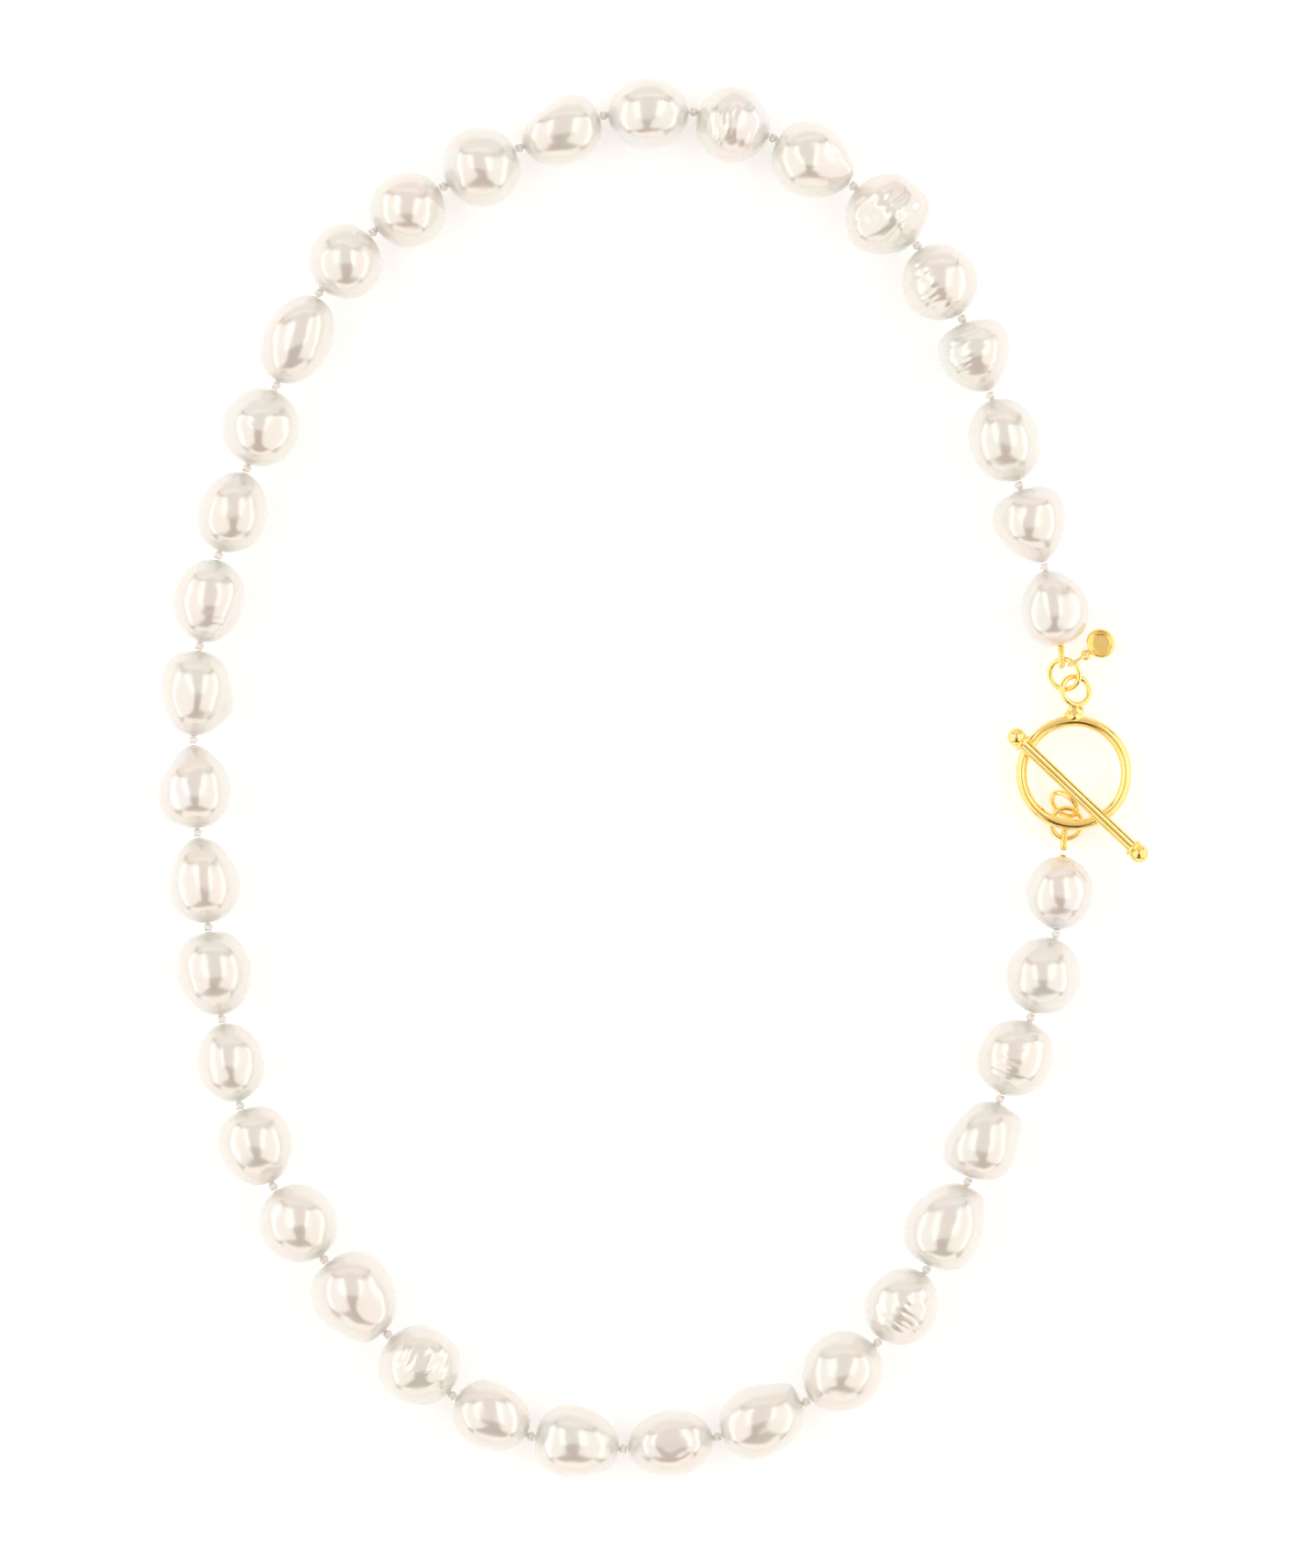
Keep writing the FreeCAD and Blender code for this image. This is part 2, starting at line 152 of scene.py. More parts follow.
# Pearls with fine growth wrinkles on top: (number, where along, wrinkle height as a share of radius)
WRINKLED = {4: 0.010, 5: 0.014, 6: 0.014, 8: 0.012, 15: 0.006, 17: 0.006, 26: 0.012, 32: 0.014, 35: 0.008}
WRINKLE_COUNT = 13.0
WRINKLE_BEND = 2.2            # how far the wrinkles wander from straight bands
SURFACE_WANDER = 0.022        # height of the broad unevenness as a share of the pearl's radius
WANDER_SCALE = 1.3
HOLE_FADE = 2.2               # how fast the unevenness rises from nothing at a hole

# Directions that lie along no tube and no ring's normal here, so a cross product with them is never zero
TUBE_SIDE = (0.31, 0.17, 0.93)
RING_SIDE = (0.31, 0.85, 0.17)


# ---------------------------------------------------------------- mesh helpers

def add_object(name, vertices, faces, material):
    """A smooth-shaded object with its mesh in the frame's own place."""
    mesh = bpy.data.meshes.new(name)
    mesh.from_pydata([tuple(v) for v in vertices], [], faces)
    mesh.validate()
    mesh.shade_smooth()
    mesh.materials.append(material)
    piece = bpy.data.objects.new(name, mesh)
    bpy.context.scene.collection.objects.link(piece)
    return piece


def grid_faces(rows, columns, wrap_rows):
    """Quads over rows of vertices that close round the columns, and round the rows if asked."""
    faces = []
    last = rows if wrap_rows else rows - 1
    for i in range(last):
        a = i * columns
        b = ((i + 1) % rows) * columns
        for j in range(columns):
            k = (j + 1) % columns
            faces.append((a + j, a + k, b + k, b + j))
    return faces


def capped_faces(rows, columns):
    """Quads over open rows of vertices, with a flat face over each end."""
    first = tuple(range(columns - 1, -1, -1))
    last = tuple(range((rows - 1) * columns, rows * columns))
    return grid_faces(rows, columns, False) + [first, last]


def path_frames(path, closed):
    """Side and up along a path, carried without twist."""
    path = np.asarray(path)
    if closed:
        tangents = np.roll(path, -1, 0) - np.roll(path, 1, 0)
    else:
        tangents = np.gradient(path, axis=0)
    tangents /= np.linalg.norm(tangents, axis=1)[:, None]
    side = np.cross(tangents[0], TUBE_SIDE)
    side /= np.linalg.norm(side)
    sides = []
    for tangent in tangents:
        side = side - tangent * side.dot(tangent)
        side /= np.linalg.norm(side)
        sides.append(side)
    sides = np.array(sides)
    return sides, np.cross(tangents, sides)


def tube_vertices(path, radius_at, sides, closed=False):
    """Rings of vertices round a path. radius_at(i, angle) gives the radius."""
    side, up = path_frames(path, closed)
    vertices = []
    for i, point in enumerate(path):
        for j in range(sides):
            turn = 2 * math.pi * j / sides
            size = radius_at(i, turn)
            vertices.append(point + side[i] * size * math.cos(turn) + up[i] * size * math.sin(turn))
    return vertices


def tube(name, path, radius_at, sides, material, closed=False):
    """A tube along a path; an open one has flat ends."""
    vertices = tube_vertices(path, radius_at, sides, closed)
    faces = grid_faces(len(path), sides, True) if closed else capped_faces(len(path), sides)
    return add_object(name, vertices, faces, material)


def turned(name, profile, start, forward, material, sides=64):
    """A solid turned about an axis from start along forward. profile is (along, radius) points."""
    forward = np.asarray(forward) / np.linalg.norm(forward)
    side = np.cross(forward, (0.0, 0.0, 1.0))
    side /= np.linalg.norm(side)
    up = np.cross(side, forward)
    vertices = []
    for along, radius in profile:
        for j in range(sides):
            turn = 2 * math.pi * j / sides
            out = side * math.cos(turn) + up * math.sin(turn)
            vertices.append(np.asarray(start) + forward * along + out * radius)
    return add_object(name, vertices, capped_faces(len(profile), sides), material)


def cad_points(node):
    """The CAD node's vertices, in metres."""
    mesh = frame["nodes"][node].data
    flat = np.empty(len(mesh.vertices) * 3)
    mesh.vertices.foreach_get("co", flat)
    return flat.reshape(-1, 3)


def along_and_out(points, middle, axis):
    """How far each point is along an axis through middle, and how far out from it."""
    offsets = points - middle
    along = offsets @ axis
    return along, np.linalg.norm(offsets - np.outer(along, axis), axis=1)


def fitted_circle(points):
    """Centre, normal, radius and wire radius of the ring that a ring of wire's vertices lie on."""
    middle = points.mean(0)
    axes = np.linalg.svd(points - middle)[2]
    x, y = (points - middle) @ axes[0], (points - middle) @ axes[1]
    system = np.column_stack([x, y, np.ones(len(x))])
    a, b, c = np.linalg.lstsq(system, x * x + y * y, rcond=None)[0]
    centre = middle + axes[0] * (a / 2) + axes[1] * (b / 2)
    wire = np.abs((points - centre) @ axes[2]).max()
    reach = np.hypot((points - centre) @ axes[0], (points - centre) @ axes[1]).max()
    return centre, axes[2], reach - wire, wire


# ---------------------------------------------------------------- materials

def new_material(name):
    """A node material, its tree and its shader."""
    material = bpy.data.materials.new(name)
    material.use_nodes = True
    tree = material.node_tree
    return material, tree, tree.nodes["Principled BSDF"]


def object_noise(tree, scale, detail=3.0, stretch=None):
    """Noise over the object's own coordinates, in metres times scale."""
    place = tree.nodes.new("ShaderNodeTexCoord")
    source = place.outputs["Object"]
    if stretch:
        mapping = tree.nodes.new("ShaderNodeMapping")
        mapping.inputs["Scale"].default_value = stretch
        tree.links.new(source, mapping.inputs["Vector"])
        source = mapping.outputs["Vector"]
    texture = tree.nodes.new("ShaderNodeTexNoise")
    texture.inputs["Scale"].default_value = scale
    texture.inputs["Detail"].default_value = detail
    tree.links.new(source, texture.inputs["Vector"])
    return texture.outputs["Fac"]


def ramp(tree, value, stops):
    """A colour read from value; stops are (place, colour)."""
    node = tree.nodes.new("ShaderNodeValToRGB")
    elements = node.color_ramp.elements
    while len(elements) < len(stops):
        elements.new(0.5)
    for element, (place, colour) in zip(elements, stops):
        element.position = place
        element.color = (*colour, 1.0)
    tree.links.new(value, node.inputs["Fac"])
    return node.outputs["Color"]


def ranged(tree, value, low, high):
    """A value from 0 to 1 spread from low to high."""
    node = tree.nodes.new("ShaderNodeMapRange")
    node.inputs["To Min"].default_value = low
    node.inputs["To Max"].default_value = high
    tree.links.new(value, node.inputs["Value"])
    return node.outputs["Result"]


def bump(tree, shader, value, strength, distance):
    """Relief on the shader's surface; distance is in metres."""
    node = tree.nodes.new("ShaderNodeBump")
    node.inputs["Strength"].default_value = strength
    node.inputs["Distance"].default_value = distance
    tree.links.new(value, node.inputs["Height"])
    tree.links.new(node.outputs["Normal"], shader.inputs["Normal"])


def nacre():
    """Freshwater nacre: cream with faint rose and green clouds under a clear lustre."""
    material, tree, shader = new_material("nacre")
    clouds = object_noise(tree, 120.0, 2.0)
    colour = ramp(tree, clouds, [(0.30, (0.77, 0.82, 0.78)), (0.45, (0.80, 0.82, 0.77)),
                                 (0.58, (0.82, 0.80, 0.76)), (0.72, (0.78, 0.82, 0.82))])
    tree.links.new(colour, shader.inputs["Base Color"])
    tree.links.new(ranged(tree, object_noise(tree, 420.0), 0.17, 0.27), shader.inputs["Roughness"])
    bump(tree, shader, object_noise(tree, 260.0, 2.0), 0.10, 0.0004)
    shader.inputs["Metallic"].default_value = 0.38
    shader.inputs["Specular IOR Level"].default_value = 0.75
    shader.inputs["IOR"].default_value = 1.6
    shader.inputs["Subsurface Weight"].default_value = 0.15
    shader.inputs["Subsurface Radius"].default_value = (0.004, 0.003, 0.002)
    shader.inputs["Subsurface Scale"].default_value = 0.5
    shader.inputs["Coat Weight"].default_value = 0.7
    shader.inputs["Coat Roughness"].default_value = 0.12
    shader.inputs["Coat IOR"].default_value = 1.6
    return material


def gold(name, rough_low, rough_high, grain):
    """Polished gold plate with faint polishing marks and a little wear."""
    material, tree, shader = new_material(name)
    wear = object_noise(tree, 300.0)
    colour = ramp(tree, wear, [(0.3, (0.95, 0.72, 0.23)), (0.7, (1.0, 0.81, 0.34))])
    tree.links.new(colour, shader.inputs["Base Color"])
    roughness = ranged(tree, object_noise(tree, 1500.0), rough_low, rough_high)
    tree.links.new(roughness, shader.inputs["Roughness"])
    bump(tree, shader, object_noise(tree, grain, 5.0), 0.10, 0.0001)
    shader.inputs["Metallic"].default_value = 1.0
    return material


def silk():
    """Off-white twisted silk: matt, with fine fibre noise."""
    material, tree, shader = new_material("silk_thread")
    fibres = object_noise(tree, 6000.0, 4.0)
    colour = ramp(tree, fibres, [(0.3, (0.88, 0.86, 0.80)), (0.7, (0.98, 0.97, 0.93))])
    tree.links.new(colour, shader.inputs["Base Color"])
    tree.links.new(ranged(tree, fibres, 0.6, 0.85), shader.inputs["Roughness"])
    bump(tree, shader, fibres, 0.5, 0.00004)
    shader.inputs["Sheen Weight"].default_value = 0.4
    return material


def paper():
    """The plain pale sweep that the necklace lies on."""
    material, _, shader = new_material("pale_sweep")
    shader.inputs["Base Color"].default_value = (0.9, 0.9, 0.9, 1.0)
    shader.inputs["Emission Color"].default_value = (0.93, 0.97, 1.0, 1.0)
    shader.inputs["Emission Strength"].default_value = 0.28
    shader.inputs["Roughness"].default_value = 0.9
    shader.inputs["Specular IOR Level"].default_value = 0.1
    return material


NACRE = nacre()
GOLD = gold("gold_plate", 0.05, 0.14, 2500.0)
TAG_GOLD = gold("tag_gold_plate", 0.10, 0.22, 4000.0)
GIMP_GOLD = gold("gimp_gold", 0.12, 0.25, 5000.0)
SILK = silk()


# ---------------------------------------------------------------- camera, light, floor

def add_camera():
    """A camera straight above, far off, so that the view is nearly flat."""
    data = bpy.data.cameras.new("camera")
    data.sensor_fit = "VERTICAL"
    data.sensor_height = 24.0
    data.lens = data.sensor_height * CAMERA_HEIGHT / VIEW_HEIGHT
    data.clip_start = 0.01
    camera = bpy.data.objects.new("camera", data)
    low, high = cad_box
    camera.location = ((low[0] + high[0]) / 2 + VIEW_OFFSET[0], (low[1] + high[1]) / 2 + VIEW_OFFSET[1],
                       CAMERA_HEIGHT)
    bpy.context.scene.collection.objects.link(camera)
    bpy.context.scene.camera = camera


def add_card(name, place, size, power, colour):
    """A soft rectangular light aimed at the necklace's middle."""
    data = bpy.data.lights.new(name, "AREA")
    data.shape = "RECTANGLE"
    data.size, data.size_y = size
    data.energy = power
    data.color = colour
    card = bpy.data.objects.new(name, data)
    card.location = place
    card.rotation_euler = (-Vector(place)).to_track_quat("-Z", "Y").to_euler()
    bpy.context.scene.collection.objects.link(card)


def add_studio():
    """A tent of large dim cards. A gap over the near side lets the dark warm room show in the pearls."""
    for card in CARDS:
        add_card(*card)
    world = bpy.data.worlds.new("studio")
    world.use_nodes = True
    background = world.node_tree.nodes["Background"]
    background.inputs["Color"].default_value = ROOM_COLOUR
    background.inputs["Strength"].default_value = ROOM_STRENGTH
    bpy.context.scene.world = world
    bpy.context.scene.view_settings.view_transform = "Standard"


def add_floor():
    """The sweep, just under the lowest pearl."""
    half = FLOOR_HALF
    low = cad_box[0][2] - FLOOR_DROP
    corners = [(-half, -half, low), (half, -half, low), (half, half, low), (-half, half, low)]
    add_object("floor", corners, [(0, 1, 2, 3)], paper())


# ---------------------------------------------------------------- pearls and silk

def knot_place(number):
    """The middle of the knot after a pearl, from its joint."""
    for suffix in ("sideways", "up_down"):
        name = "knot_%02d_%s" % (number, suffix)
        if name in JOINTS:
            return np.array(JOINTS[name]["pos_m"])
    raise KeyError(number)


def first_thread_end():
    """Where the upper gimp's neck meets pearl 1: the end of its box towards the pearl."""
    points = cad_points("upper_gimp")
    end = points[:, 1].max()
    near = points[points[:, 1] > end - NECK_TIP]
    middle = (near.min(0) + near.max(0)) / 2
    middle[1] = end
    return middle


def last_thread_end():
    """The far end of pearl 37's silk: the points of its node that are farthest from knot 36."""
    points = cad_points("pearl_37")
    reach = np.linalg.norm(points - knot_place(PEARL_COUNT - 1), axis=1)
    ring = points[reach > reach.max() - 0.01 * MM]
    return (ring.min(0) + ring.max(0)) / 2


def thread_places():
    """The thread's end at pearl 1, every knot, and the thread's end at pearl 37."""
    knots = [knot_place(n) for n in range(1, PEARL_COUNT)]
    return [first_thread_end()] + knots + [last_thread_end()]


def lower_mouth(places):
    """Where the lower gimp's neck ends, short of pearl 37."""
    link = np.array(JOINTS["lower_gimp_swing"]["pos_m"])
    forward = (places[-1] - link) / np.linalg.norm(places[-1] - link)
    return places[-1] - forward * GIMP_END_GAP


def pearl_measures(number, start, end):
    """From the CAD solid: the first hole, the way to the other, length, radius, and where it is fattest."""
    span = np.linalg.norm(end - start)
    forward = (end - start) / span
    along, out = along_and_out(cad_points("pearl_%02d" % number), start, forward)
    outside = out > 1.3 * KNOT_RADIUS
    radius = out.max()
    near = along[outside & (out > 0.97 * radius)]
    ends = KNOT_GAP / 2
    first = 0.0 if number == 1 else ends
    last = span if number == PEARL_COUNT else span - ends
    fat = ((near.min() + near.max()) / 2 - first) / (last - first)
    return start + forward * first, forward, last - first, radius, fat


def surface_change(number, direction, up_share):
    """How far the pearl's skin stands out of its turned shape, as a share of its radius."""
    change = 0.0
    for along, around, height, spread in FEATURES.get(number, []):
        turn = math.radians(around)
        ring = math.sqrt(max(0.0, 1 - along * along))
        centre = Vector((along, -ring * math.cos(turn), ring * math.sin(turn)))
        angle = direction.angle(centre)
        change += height * math.exp(-((angle / spread) ** 2))
    place = direction * WANDER_SCALE + Vector((number * 7.1, number * 3.3, 0.0))
    change += SURFACE_WANDER * noise.noise(place) * 2.0
    change += SURFACE_WANDER * 0.35 * noise.noise(place * 3.1)
    height = WRINKLED.get(number)
    if height:
        wave = direction.x * WRINKLE_COUNT + WRINKLE_BEND * noise.noise(place * 1.7)
        patch = max(0.0, noise.noise(place * 1.1 + Vector((5.0, 0.0, 0.0))) + 0.25) * up_share
        change += height * math.sin(wave * 2.0) * patch * 2.0
    return change


def pearl_mesh(number, start, end):
    """A drilled pearl: its skin from one hole to the other, closed by the bore."""
    hole, forward, length, radius, fat = pearl_measures(number, start, end)
    inward = np.cross((0.0, 0.0, 1.0), forward)
    inward /= np.linalg.norm(inward)
    up = np.cross(forward, inward)
    rows, columns = 60, 72
    skew = math.log(fat) / math.log(0.5)
    edge = math.asin(HOLE_RADIUS / radius)
    vertices = []
    for i in range(rows + 1):
        polar = edge + (math.pi - 2 * edge) * i / rows
        share = 0.5 - 0.5 * math.cos(polar)
        along = length * share ** skew
        fade = min(1.0, math.sin(polar) * HOLE_FADE - HOLE_FADE * HOLE_RADIUS / radius)
        for j in range(columns):
            turn = 2 * math.pi * j / columns
            direction = Vector((-math.cos(polar), math.sin(polar) * math.cos(turn),
                                math.sin(polar) * math.sin(turn)))
            change = surface_change(number, direction, max(0.0, direction.z)) * max(0.0, fade)
            out = radius * math.sin(polar) * (1 + change)
            shift = change * radius * direction.x
            vertices.append(hole + forward * (along + shift) + inward * out * math.cos(turn)
                            + up * out * math.sin(turn))
    faces = grid_faces(rows + 1, columns, True)
    return add_object("pearl_%02d_skin" % number, vertices, faces, NACRE)


def twisted_radius(size, strands, turns_per_step, depth):
    """A radius that winds like plied thread."""
    def radius_at(i, turn):
        return size * (1 - depth + depth * abs(math.cos(0.5 * strands * (turn + turns_per_step * i))))
    return radius_at


def silk_run(number, start, end):
    """The plied thread through one pearl, short of the knot before it."""
    forward = (end - start) / np.linalg.norm(end - start)
    first = start + forward * (FIRST_SILK_START if number == 1 else SILK_START)
    steps = 60
    path = [first + (end - first) * i / steps for i in range(steps + 1)]
    radius_at = twisted_radius(SILK_RADIUS, 3, 0.35, 0.22)
    return tube("silk_thread_%02d" % number, path, radius_at, 18, SILK)


def silk_knot(number, middle, forward):
    """An overhand knot pulled tight: a trefoil of plied thread round the strand's line."""
    forward = forward / np.linalg.norm(forward)
    side = np.cross((0.0, 0.0, 1.0), forward)
    side /= np.linalg.norm(side)
    up = np.cross(forward, side)
    steps = 96
    path = []
    for i in range(steps):
        turn = 2 * math.pi * i / steps
        wide = (0.27 + 0.08 * math.cos(3 * turn)) * MM
        spot = middle + side * wide * math.cos(2 * turn) + up * wide * math.sin(2 * turn)
        path.append(spot + forward * 0.2 * MM * math.sin(3 * turn))
    radius_at = twisted_radius(KNOT_STRAND_RADIUS, 3, 0.25, 0.18)
    return tube("silk_knot_%02d" % number, path, radius_at, 16, SILK, closed=True)


def build_strand(places):
    """Every pearl with its own length of silk, and the knot after it."""
    for number in range(1, PEARL_COUNT + 1):
        start, end = places[number - 1], places[number]
        body = "pearl_%02d" % number
        skin = pearl_mesh(number, start, end)
        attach(skin, body)
        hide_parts(body)
        thread = silk_run(number, start, end)
        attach(thread, body)
        if number < PEARL_COUNT:
            knot = silk_knot(number, end, end - start)
            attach(knot, body)


# ---------------------------------------------------------------- clasp

def circle_path(centre, normal, radius, steps, wobble=0.0, seed=0.0):
    """Points round a circle; wobble makes it slightly out of true, as a hand-made ring is."""
    normal = normal / np.linalg.norm(normal)
    side = np.cross(normal, RING_SIDE)
    side /= np.linalg.norm(side)
    up = np.cross(normal, side)
    path = []
    for i in range(steps):
        turn = 2 * math.pi * i / steps
        size = radius * (1 + wobble * noise.noise(Vector((math.cos(turn), math.sin(turn), seed))))
        path.append(centre + side * size * math.cos(turn) + up * size * math.sin(turn))
    return path


def wire_ring(name, node, body, material, points=None, wobble=0.0, uneven=0.0):
    """A ring of round wire on the circle that its CAD solid lies on."""
    centre, normal, radius, wire = fitted_circle(cad_points(node) if points is None else points)
    steps = 160
    path = circle_path(centre, normal, radius, steps, wobble, centre[0] * 900)

    def radius_at(i, turn):
        around = 2 * math.pi * i / steps
        spot = Vector((2 * math.cos(around), 2 * math.sin(around), 3.0))
        return WIRE_SHARE * wire * (1 + uneven * noise.noise(spot))

    piece = tube(name, path, radius_at, 32, material, closed=True)
    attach(piece, body)
    return piece


def ball_profile(radius, dip):
    """A ball's profile, from dip inside its near pole nearly to its far pole."""
    steps = 28
    first = math.acos(1 - dip / radius)
    sweep = math.pi - 0.02 - first
    angles = [first + sweep * i / steps for i in range(steps + 1)]
    return [(radius - radius * math.cos(angle), radius * math.sin(angle)) for angle in angles]


def collar_profile(depth, shaft_radius, radius):
    """A collar's full, rounded profile, from the shaft out to its rim and back."""
    steps = 24
    fullness = 0.7
    profile = []
    for i in range(steps + 1):
        turn = math.pi * i / steps
        along = depth * (0.5 - 0.5 * math.cos(turn))
        profile.append((along, shaft_radius + (radius - shaft_radius) * math.sin(turn) ** fullness))
    return profile


def end_measures(node, middle, outward):
    """The solid at one end of the bar: its nearest and farthest place along outward, and its radius."""
    along, out = along_and_out(cad_points(node), middle, outward)
    here = along > 0
    return along[here].min(), along[here].max(), out[here].max()


def build_bar():
    """The bar, its collars and its end balls, on the line of the CAD shaft."""
    points = cad_points("toggle_bar")
    middle = (points.min(0) + points.max(0)) / 2
    axis = np.linalg.svd(points - middle, full_matrices=False)[2][0]
    axis = axis * math.copysign(1, axis[0])
    along, out = along_and_out(points, middle, axis)
    reach, thick = along.max(), out.max()
    steps = 80
    path = [middle + axis * reach * (2 * i / steps - 1) for i in range(steps + 1)]

    def shaft_radius(i, turn):
        return thick * (1 + 0.012 * noise.noise(Vector((i * 0.12, 0.0, 4.0))))

    shaft = tube("bar_shaft", path, shaft_radius, 48, GOLD)
    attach(shaft, "toggle_bar")
    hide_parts("toggle_bar")
    for side, label in ((-1, "left"), (1, "right")):
        outward = axis * side
        _, tip, size = end_measures("bar_end_balls", middle, outward)
        ball = turned("bar_ball_" + label, ball_profile(size, 0.25 * size),
                      middle + outward * (tip - 2 * size), outward, GOLD)
        first, last, wide = end_measures("bar_collars", middle, outward)
        collar = turned("bar_collar_" + label, collar_profile(last - first, thick, wide),
                        middle + outward * first, outward, GOLD)
        for piece, node in ((ball, "bar_end_balls"), (collar, "bar_collars")):
            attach(piece, "toggle_bar")
            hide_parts(node)


def build_loop():
    """The loop on the toggle ring, and the lump of solder at its foot."""
    points = cad_points("toggle_ring_loop")
    ring_centre, _, ring_radius, ring_wire = fitted_circle(cad_points("toggle_ring"))
    clear = ring_radius + ring_wire + LOOP_CLEAR
    loop_points = points[np.linalg.norm((points - ring_centre)[:, :2], axis=1) > clear]
    loop = wire_ring("ring_loop_wire", "toggle_ring_loop", "toggle_ring", GOLD, loop_points,
                     wobble=0.02)
    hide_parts("toggle_ring_loop")
    centre, _, loop_radius, _ = fitted_circle(loop_points)
    foot = ring_centre + np.array([0.0, ring_radius, 0.0])
    head = np.array([centre[0], centre[1] - loop_radius, centre[2]])
    lump = solder_mesh(foot, head)
    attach(lump, "toggle_ring")


def solder_mesh(foot, head):
    """A lumpy bead of solder, wider at the ring's side than at the loop's."""
    rows, columns = 40, 48
    tip = 0.03
    axis = (head - foot) / np.linalg.norm(head - foot)
    side = np.cross(axis, (0.0, 0.0, 1.0))
    side /= np.linalg.norm(side)
    up = np.cross(side, axis)
    first, last = foot - axis * SOLDER_FOOT_SINK, head + axis * SOLDER_HEAD_SINK
    vertices = []
    for i in range(rows + 1):
        polar = tip + (math.pi - 2 * tip) * i / rows
        share = 0.5 - 0.5 * math.cos(polar)
        for j in range(columns):
            turn = 2 * math.pi * j / columns
            size = SOLDER_RADIUS * math.sin(polar) ** 0.6 * (1.38 - 0.62 * share)
            size *= 1 + 0.22 * noise.noise(Vector((3 * share, 1.4 * math.cos(turn), 1.4 * math.sin(turn))))
            vertices.append(first + (last - first) * share + side * size * 1.15 * math.cos(turn)
                            + up * size * 0.85 * math.sin(turn))
    return add_object("solder_lump", vertices, capped_faces(rows + 1, columns), GOLD)


def coil_radius(step, size):
    """A radius with the ridges of finely wound wire."""
    def radius_at(i, turn):
        wound = 2 * math.pi * i * step / GIMP_PITCH + turn
        return size * (0.70 + 0.30 * abs(math.cos(0.5 * wound)))
    return radius_at


def build_gimp(node, body, link_joint, mouth, label):
    """Coiled gimp: the loop round the jump ring, and the neck that runs into the pearl's hole."""
    link = np.array(JOINTS[link_joint]["pos_m"])
    towards = (mouth - link) / np.linalg.norm(mouth - link)
    side = np.array([-towards[1], towards[0], 0.0])
    side /= np.linalg.norm(side)
    steps = 240
    path = circle_path(link, side, GIMP_LOOP_RADIUS, steps)
    step = 2 * math.pi * GIMP_LOOP_RADIUS / steps
    loop = tube(label + "_loop", path, coil_radius(step, GIMP_LOOP_WIRE), 20, GIMP_GOLD, closed=True)
    start = link + towards * GIMP_LOOP_RADIUS
    length = np.linalg.norm(mouth - start)
    count = 90
    neck_path = [start + (mouth - start) * i / count for i in range(count + 1)]
    neck = tube(label + "_neck", neck_path, coil_radius(length / count, GIMP_NECK_WIRE), 20, GIMP_GOLD)
    for piece in (loop, neck):
        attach(piece, body)
        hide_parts(node)


def build_stub(mouth, end):
    """The end of the gimp that stays in pearl 37, on its side of the gap in the loop."""
    forward = (end - mouth) / np.linalg.norm(end - mouth)
    count = 60
    first = mouth - forward * GIMP_STUB
    path = [first + forward * 2 * GIMP_STUB * i / count for i in range(count + 1)]
    radius_at = coil_radius(2 * GIMP_STUB / count, 0.97 * HOLE_RADIUS)
    stub = tube("lower_gimp_stub", path, radius_at, 20, GIMP_GOLD)
    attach(stub, "pearl_37")


def build_tag_link():
    """The tag's long link: round wire with straight sides and round ends."""
    points = cad_points("tag_link")
    middle = (points.min(0) + points.max(0)) / 2
    long_way, high_way, thin_way = np.linalg.svd(points - middle, full_matrices=False)[2]
    wire = np.abs((points - middle) @ thin_way).max()
    half_long = np.abs((points - middle) @ long_way).max() - wire
    half_high = np.abs((points - middle) @ high_way).max() - wire
    straight = half_long - half_high
    steps = 160
    path = []
    for i in range(steps):
        turn = 2 * math.pi * i / steps
        shift = math.copysign(straight, math.cos(turn)) if abs(math.cos(turn)) > 1e-9 else 0.0
        path.append(middle + long_way * (shift + half_high * math.cos(turn))
                    + high_way * half_high * math.sin(turn))
    link = tube("tag_long_link", path, lambda i, turn: wire, 20, TAG_GOLD, closed=True)
    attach(link, "tag_link")
    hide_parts("tag_link")


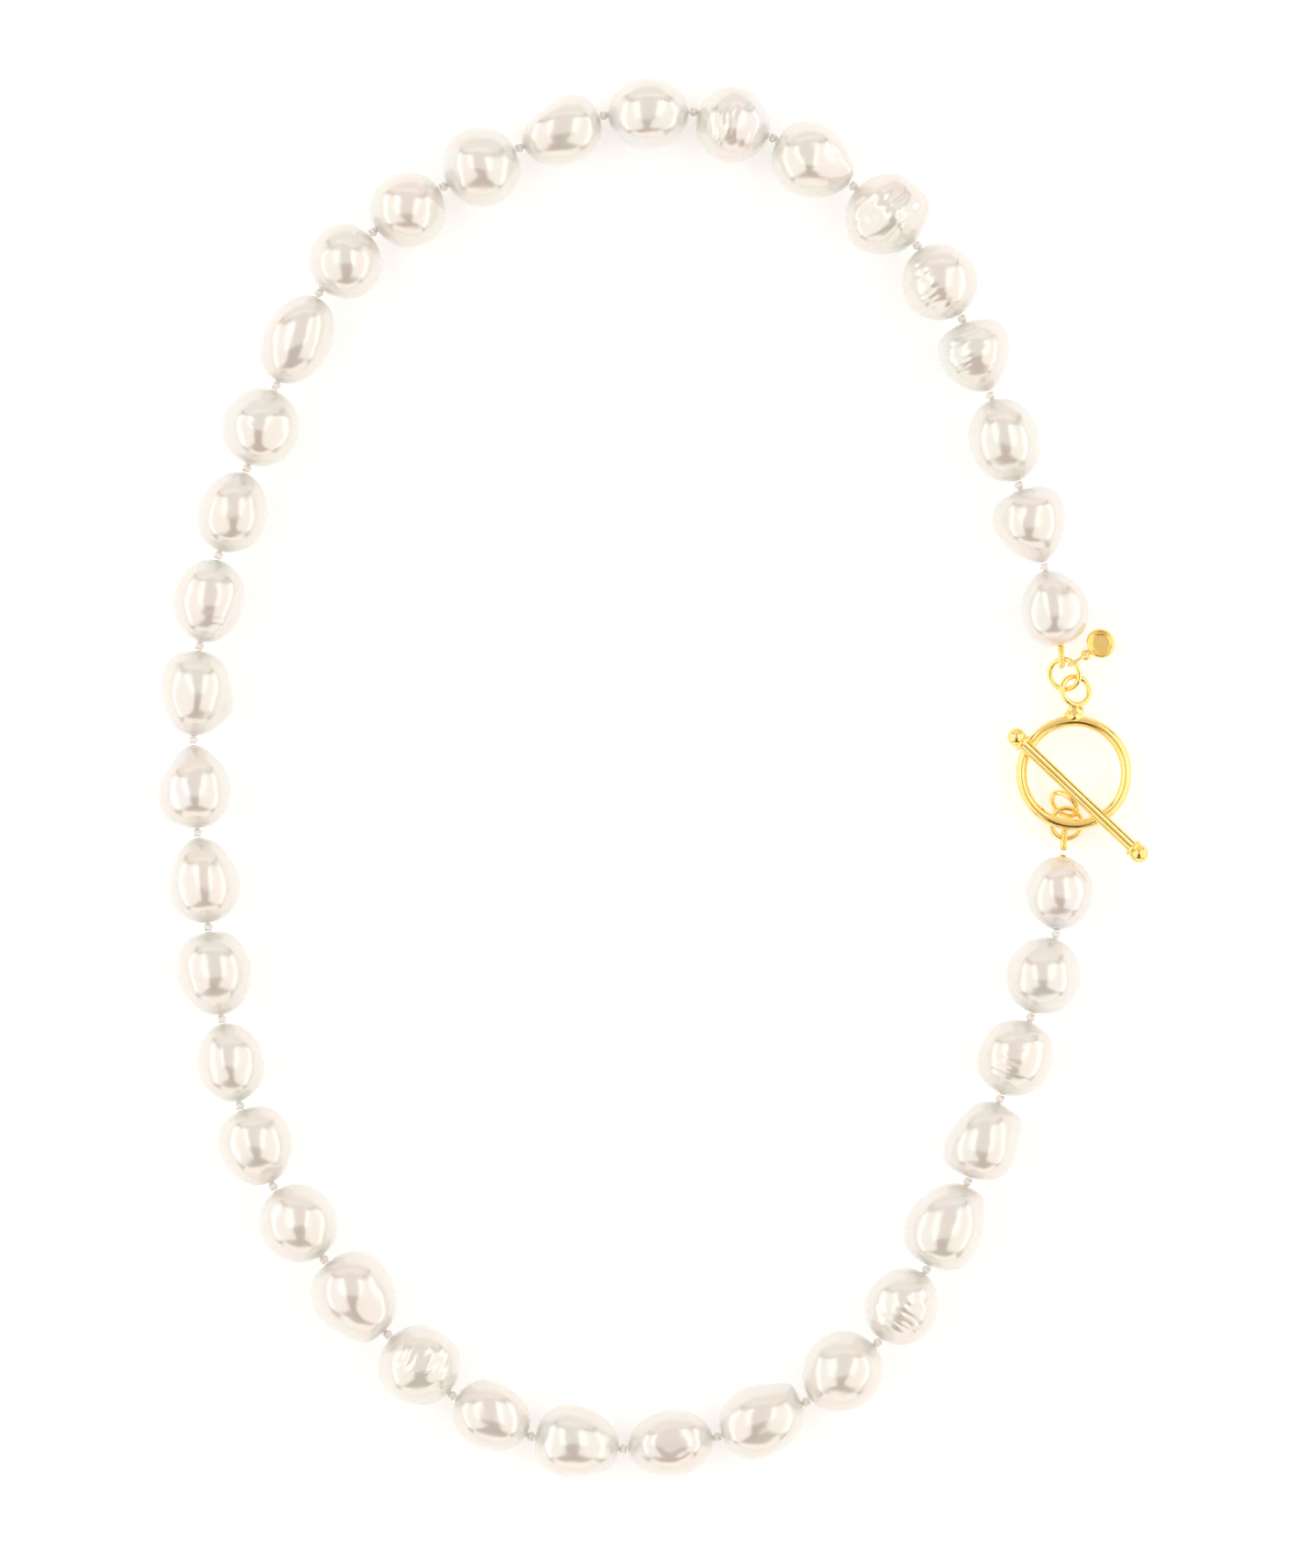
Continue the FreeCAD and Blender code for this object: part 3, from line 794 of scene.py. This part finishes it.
def build_tag():
    """The plain oval tag, with its raised rim, and its bail."""
    bail_centre = np.array(JOINTS["tag_swing"]["pos_m"])
    bail = tube("tag_bail", circle_path(bail_centre, np.array([0.0, 0.0, 1.0]), BAIL_RADIUS, 96),
                lambda i, turn: BAIL_WIRE, 20, TAG_GOLD, closed=True)
    tag_points = cad_points("maker_tag")
    outward = (tag_points.min(0) + tag_points.max(0)) / 2 - bail_centre
    outward[2] = 0.0
    outward /= np.linalg.norm(outward)
    across = np.array([-outward[1], outward[0], 0.0])
    centre = bail_centre + outward * (BAIL_RADIUS + TAG_RADIUS)
    columns = 96
    vertices = []
    for share, height in TAG_PROFILE:
        share = max(share, 0.01)
        for j in range(columns):
            turn = 2 * math.pi * j / columns
            spot = centre + outward * TAG_RADIUS * TAG_NARROWING * share * math.cos(turn)
            vertices.append(spot + across * TAG_RADIUS * share * math.sin(turn)
                            + np.array([0.0, 0.0, height * MM]))
    disc = add_object("tag_disc", vertices, capped_faces(len(TAG_PROFILE), columns), TAG_GOLD)
    for piece in (bail, disc):
        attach(piece, "maker_tag")
        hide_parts("maker_tag")


def build_clasp(places):
    """Everything from the upper gimp to the lower one, with the tag."""
    ring = wire_ring("toggle_ring_wire", "toggle_ring", "toggle_ring", GOLD,
                     wobble=0.02, uneven=0.05)
    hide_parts("toggle_ring")
    for name, node, body in (("upper_jump_wire", "upper_jump_ring", "upper_jump_ring"),
                             ("lower_jump_wire", "lower_jump_ring", "lower_jump_ring"),
                             ("eyelet_wire", "bar_eyelet", "toggle_bar")):
        piece = wire_ring(name, node, body, GOLD)
        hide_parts(node)
    build_loop()
    build_bar()
    build_gimp("upper_gimp", "pearl_01", "upper_jump_ring_swing", places[0], "upper_gimp")
    build_gimp("lower_gimp", "lower_gimp", "lower_gimp_swing", lower_mouth(places), "lower_gimp")
    build_stub(places[-1], places[-2])
    build_tag_link()
    build_tag()


add_camera()
add_studio()
add_floor()
thread = thread_places()
build_strand(thread)
build_clasp(thread)
